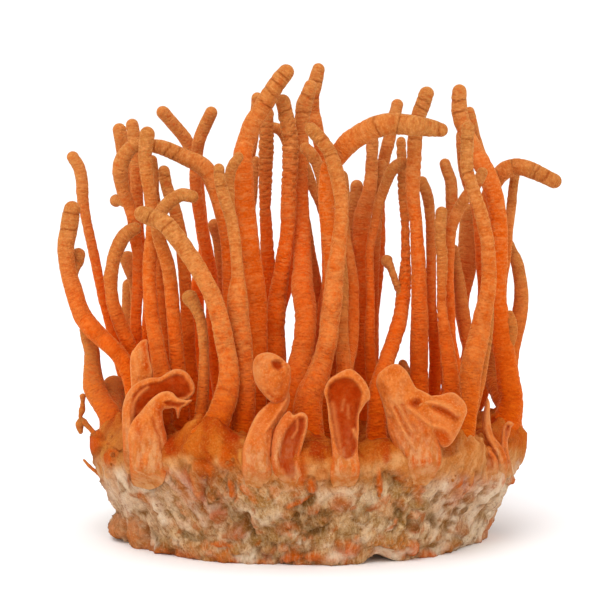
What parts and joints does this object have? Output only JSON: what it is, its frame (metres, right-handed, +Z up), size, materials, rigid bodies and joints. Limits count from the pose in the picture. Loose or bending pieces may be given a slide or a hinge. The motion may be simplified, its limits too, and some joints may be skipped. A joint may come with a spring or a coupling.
{
  "type": "cordyceps bunch",
  "caption": "Bunch of cordyceps: slender orange club stems and small curled lobes standing on a round block of overgrown rice.",
  "frame": {"origin": "centre of the flat underside of the rice block", "axes": "+Z up, the stems' way; -Y towards the front seen in the picture; +X to the right"},
  "size_m": [0.0899, 0.0794, 0.085],
  "materials": {
    "fruit_body": "matt, finely velvety",
    "lobe": "matt, finely ribbed",
    "rice_block": "matt, lumpy skin"
  },
  "bodies": {
    "root": {"rice_block": "rice_block", "lobe_curled_ribbon": "lobe", "lobe_flake": "lobe", "lobe_fused_pair": "lobe", "lobe_hooked_tongue": "lobe", "lobe_knob": "lobe", "lobe_paddle": "lobe", "lobe_right_fins": "lobe", "stem_01_tall_leaning": "fruit_body", "stem_02_behind_tall": "fruit_body", "stem_03_wrinkled": "fruit_body", "stem_04_straight": "fruit_body", "stem_05_back": "fruit_body", "stem_05b_back_thin": "fruit_body", "stem_06_tallest_back": "fruit_body", "stem_07_front_middle": "fruit_body", "stem_07b_forked_back": "fruit_body", "stem_08_front_curved": "fruit_body", "stem_09_bent_thin": "fruit_body", "stem_10_long_arch": "fruit_body", "stem_11_back_pair": "fruit_body", "stem_12_tall_right": "fruit_body", "stem_13_bumpy": "fruit_body", "stem_14_swollen": "fruit_body", "stem_15_thin_curved": "fruit_body", "stem_16_back_short": "fruit_body", "stem_18_thin": "fruit_body", "stem_19_hooked_thin": "fruit_body", "stem_20_front_short": "fruit_body", "stem_21_curved_across": "fruit_body", "stem_22_stout_right": "fruit_body", "stem_22b_back_thin": "fruit_body", "stem_23_front_right": "fruit_body", "stem_24_back": "fruit_body", "stem_25_bent_right": "fruit_body", "stem_26_thin_right": "fruit_body", "stem_27_far_right": "fruit_body", "stem_29_thin_left": "fruit_body", "stem_30_bowed_left": "fruit_body", "stem_32_back_left": "fruit_body", "stem_33_straight_left": "fruit_body", "stem_34_front_left": "fruit_body", "stem_34b_thin": "fruit_body", "stem_35_elbow_left": "fruit_body", "stem_37_bent_top": "fruit_body", "stem_38_front_sweep": "fruit_body", "stem_39_hooked": "fruit_body", "stem_40_slim": "fruit_body", "stem_41_knobbed": "fruit_body", "stem_43_back_leaning": "fruit_body", "stem_44_back_slanted": "fruit_body", "stem_45_crook_left": "fruit_body", "stem_46_short_pair": "fruit_body", "stem_47_small_tapered": "fruit_body", "stem_49_back_short": "fruit_body", "stem_51_low_left": "fruit_body", "stem_52_thick_back": "fruit_body", "stem_53_small_club": "fruit_body", "stem_54_forked_middle": "fruit_body"}
  },
  "joints": []
}
